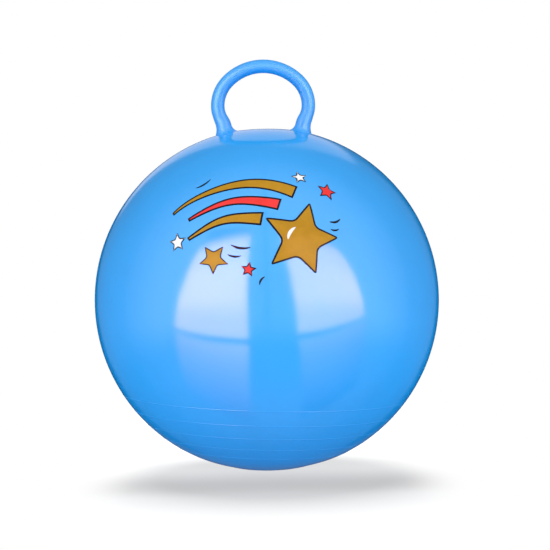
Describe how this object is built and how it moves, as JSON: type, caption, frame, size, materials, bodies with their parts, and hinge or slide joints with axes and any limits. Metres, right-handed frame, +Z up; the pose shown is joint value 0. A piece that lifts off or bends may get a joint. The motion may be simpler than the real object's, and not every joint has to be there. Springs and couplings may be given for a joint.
{
  "type": "hopper ball",
  "caption": "Blown-up ball to sit and bounce on, with a hollow hand loop on top, fine raised rings round its lower half and a plugged air valve at the back.",
  "frame": {"origin": "middle of the flat patch that the ball rests on, in the plane of the ground", "axes": "+Z up through the middle of the ball and the hand loop, X along the loop from one foot to the other, -Y towards the printed front, +Y towards the air valve"},
  "size_m": [0.4498, 0.4498, 0.5354],
  "materials": {
    "blue_vinyl": "smooth glossy soft vinyl",
    "valve_vinyl": "satin soft vinyl",
    "plug_plastic": "satin hard plastic",
    "ink_ochre": "printed ink, satin",
    "ink_black": "printed ink, satin",
    "ink_red": "printed ink, satin",
    "ink_white": "printed ink, satin"
  },
  "bodies": {
    "ball": {"ball_skin": "blue_vinyl", "ring_handle": "blue_vinyl", "valve_seat": "valve_vinyl"},
    "plug": {"valve_plug": "plug_plastic"}
  },
  "joints": [
    {"name": "plug_pull", "type": "slide", "parent": "ball", "child": "plug", "axis": [0, 0.9659, -0.2588], "range_m": [0, 0.03]}
  ]
}
